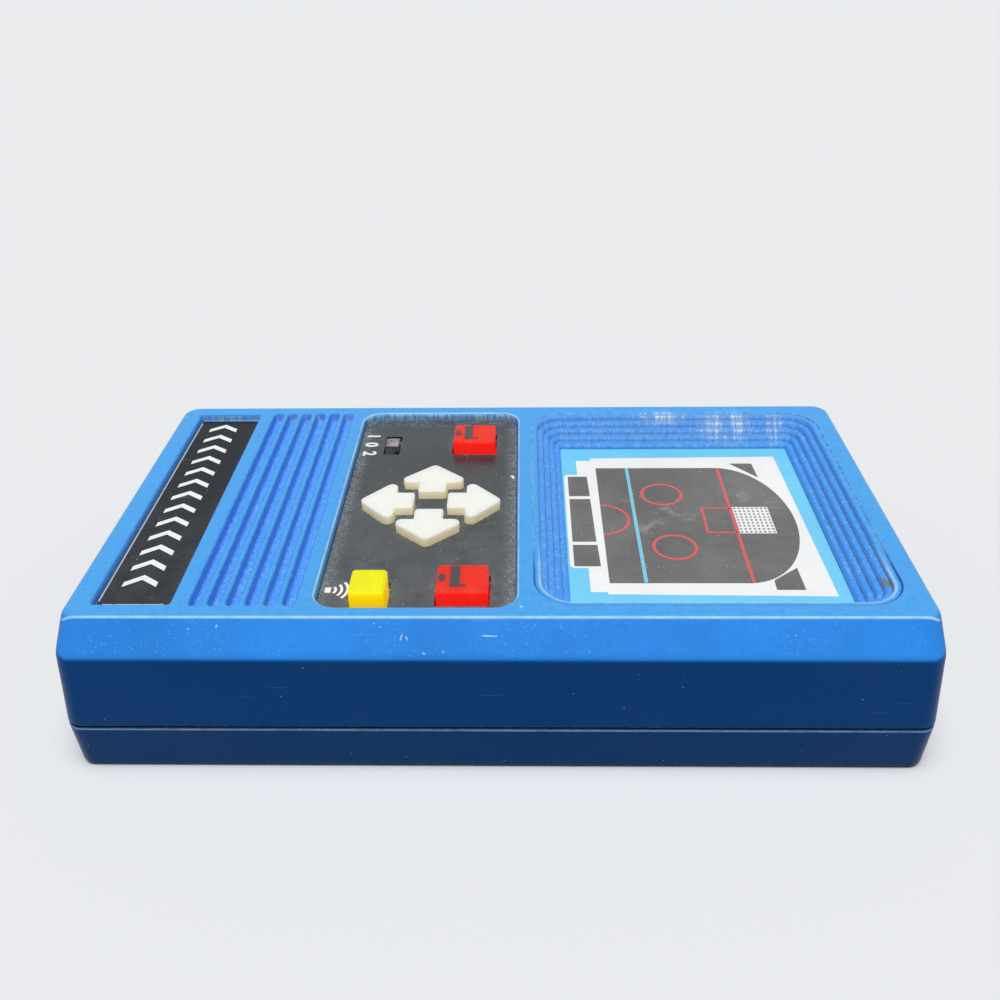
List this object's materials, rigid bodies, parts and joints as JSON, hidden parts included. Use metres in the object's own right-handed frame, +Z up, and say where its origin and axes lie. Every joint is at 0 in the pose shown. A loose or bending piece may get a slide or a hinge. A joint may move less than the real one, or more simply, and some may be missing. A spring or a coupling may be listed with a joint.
{
  "type": "handheld electronic game",
  "caption": "Handheld electronic sports game: blue two-part case, sunken keypad with arrow keys, printed window over lights, slide switch and a sliding battery door.",
  "frame": {"origin": "middle of the flat underside, on the surface that the case lies on", "axes": "+X along the case from the name plate end to the display end, +Y away from the player as the case lies on a table, +Z up out of the keys"},
  "size_m": [0.1402, 0.0842, 0.0287],
  "materials": {
    "case_blue": "glossy, lightly scratched",
    "plate_black": "glossy, dusty at the edges",
    "window_dark": "glossy, dark, lightly scratched",
    "key_cream": "semi-gloss, slightly yellowed",
    "button_red": "glossy, worn edges",
    "button_yellow": "satin",
    "switch_black": "matt",
    "bare_steel": "satin",
    "knob_black": "satin, worn top",
    "mat_rubber": "matt",
    "board_brown": "satin",
    "block_white": "matt",
    "light_red": "clear red",
    "digit_dark": "dark red",
    "chip_black": "matt",
    "can_blue": "glossy sleeve",
    "resistor_tan": "satin",
    "foam_grey": "matt foam",
    "disc_brass": "satin",
    "crystal_white": "matt",
    "battery_can": "satin",
    "snap_nickel": "polished",
    "clip_black": "satin",
    "wire_black": "satin",
    "wire_red": "satin",
    "screw_steel": "satin"
  },
  "bodies": {
    "case": {"upper_shell": "case_blue", "lower_shell": "case_blue", "name_plate": "plate_black", "keypad_plate": "plate_black", "display_window": "window_dark", "switch_base": "switch_black", "switch_cover": "bare_steel", "key_mat": "mat_rubber", "main_board": "board_brown", "light_block": "block_white", "lights": "light_red", "digit_modules": "digit_dark", "game_chip": "chip_black", "chip_legs": "bare_steel", "capacitor": "can_blue", "resistors": "resistor_tan", "transistors": "chip_black", "sounder_gasket": "foam_grey", "sounder_disc": "disc_brass", "sounder_crystal": "crystal_white", "battery": "battery_can", "battery_snaps": "snap_nickel", "clip_snaps": "snap_nickel", "battery_clip": "clip_black", "battery_pad": "foam_grey", "battery_lead_minus": "wire_black", "battery_lead_plus": "wire_red", "sounder_lead_disc": "wire_black", "sounder_lead_crystal": "wire_red", "case_screws": "screw_steel", "board_screws": "screw_steel"},
    "arrow_key_right": {"arrow_key_right": "key_cream"},
    "arrow_key_far": {"arrow_key_far": "key_cream"},
    "arrow_key_left": {"arrow_key_left": "key_cream"},
    "arrow_key_near": {"arrow_key_near": "key_cream"},
    "action_button_far": {"action_button_far": "button_red"},
    "action_button_near": {"action_button_near": "button_red"},
    "sound_button": {"sound_button": "button_yellow"},
    "switch_knob": {"switch_knob": "knob_black"},
    "battery_door": {"battery_door": "case_blue"}
  },
  "joints": [
    {"name": "arrow_key_right_press", "type": "slide", "parent": "case", "child": "arrow_key_right", "axis": [0, 0, -1], "range_m": [0, 0.0009], "stiffness_N_per_m": 1200, "deforming": ["key_mat"]},
    {"name": "arrow_key_far_press", "type": "slide", "parent": "case", "child": "arrow_key_far", "axis": [0, 0, -1], "range_m": [0, 0.0009], "stiffness_N_per_m": 1200, "deforming": ["key_mat"]},
    {"name": "arrow_key_left_press", "type": "slide", "parent": "case", "child": "arrow_key_left", "axis": [0, 0, -1], "range_m": [0, 0.0009], "stiffness_N_per_m": 1200, "deforming": ["key_mat"]},
    {"name": "arrow_key_near_press", "type": "slide", "parent": "case", "child": "arrow_key_near", "axis": [0, 0, -1], "range_m": [0, 0.0009], "stiffness_N_per_m": 1200, "deforming": ["key_mat"]},
    {"name": "action_button_far_press", "type": "slide", "parent": "case", "child": "action_button_far", "axis": [0, 0, -1], "range_m": [0, 0.0009], "stiffness_N_per_m": 1200, "deforming": ["key_mat"]},
    {"name": "action_button_near_press", "type": "slide", "parent": "case", "child": "action_button_near", "axis": [0, 0, -1], "range_m": [0, 0.0009], "stiffness_N_per_m": 1200, "deforming": ["key_mat"]},
    {"name": "sound_button_press", "type": "slide", "parent": "case", "child": "sound_button", "axis": [0, 0, -1], "range_m": [0, 0.0009], "stiffness_N_per_m": 1200, "deforming": ["key_mat"]},
    {"name": "switch_slide", "type": "slide", "parent": "case", "child": "switch_knob", "axis": [0, 1, 0], "range_m": [-0.0019, 0.0019]},
    {"name": "battery_door_slide", "type": "slide", "parent": "case", "child": "battery_door", "axis": [-1, 0, 0], "range_m": [0, 0.033]}
  ]
}
